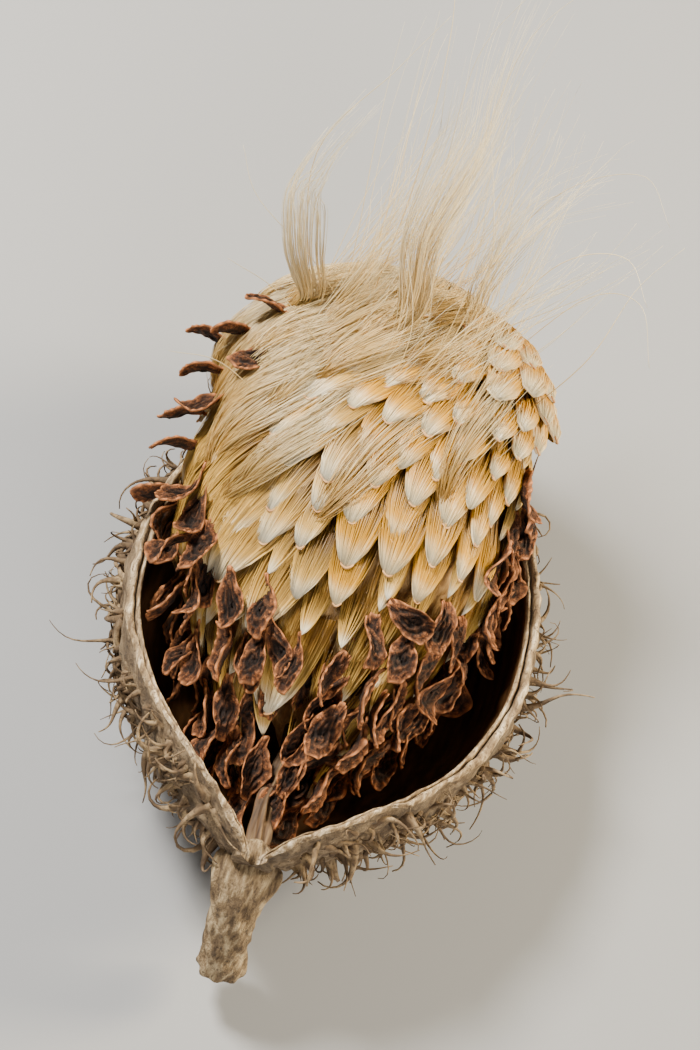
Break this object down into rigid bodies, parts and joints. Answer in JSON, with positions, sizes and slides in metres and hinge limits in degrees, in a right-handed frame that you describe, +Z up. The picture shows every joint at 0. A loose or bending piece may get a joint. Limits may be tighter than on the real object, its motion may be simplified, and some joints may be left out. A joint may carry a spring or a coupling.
{
  "type": "milkweed seed pod",
  "caption": "Ripe milkweed pod split open along its seam: a warty boat-shaped husk on a short stem, flat winged seeds on a dome of packed silk, loose silk rising from the top.",
  "frame": {"origin": "middle of the bottom of the whole object's bounding box, on the surface that the pod lies on", "axes": "+Y along the pod from its stem end to its beak, +Z up out of the split in the husk, +X to the right when the split is looked at with the stem end nearest"},
  "size_m": [0.0642, 0.1062, 0.0695],
  "materials": {
    "husk": "dry, fibrous and matt, paler along the rim",
    "stem": "dry and matt",
    "placenta": "papery",
    "seed": "wrinkled, with a lighter wing",
    "silk": "silky sheen"
  },
  "bodies": {
    "root": {"husk": "husk", "stem": "stem", "placenta": "placenta", "silk_dome": "silk", "silk_lock_left": "silk", "silk_lock_middle": "silk", "silk_lock_right": "silk", "seed_01": "seed", "seed_02": "seed", "seed_03": "seed", "seed_04": "seed", "seed_05": "seed", "seed_06": "seed", "seed_07": "seed", "seed_08": "seed", "seed_09": "seed", "seed_10": "seed", "seed_11": "seed", "seed_12": "seed", "seed_13": "seed", "seed_14": "seed", "seed_15": "seed", "seed_16": "seed", "seed_17": "seed", "seed_18": "seed", "seed_19": "seed", "seed_20": "seed", "seed_21": "seed", "seed_22": "seed", "seed_23": "seed", "seed_24": "seed", "seed_25": "seed", "seed_26": "seed", "seed_27": "seed", "seed_28": "seed", "seed_29": "seed", "seed_30": "seed", "seed_31": "seed", "seed_32": "seed", "seed_33": "seed", "seed_34": "seed", "seed_35": "seed", "seed_36": "seed", "seed_37": "seed", "seed_38": "seed", "seed_39": "seed", "seed_40": "seed", "seed_41": "seed", "seed_42": "seed", "seed_43": "seed", "seed_44": "seed", "seed_45": "seed", "seed_46": "seed", "seed_47": "seed", "seed_48": "seed", "seed_49": "seed", "seed_50": "seed", "seed_51": "seed", "seed_52": "seed", "seed_53": "seed"}
  },
  "joints": []
}
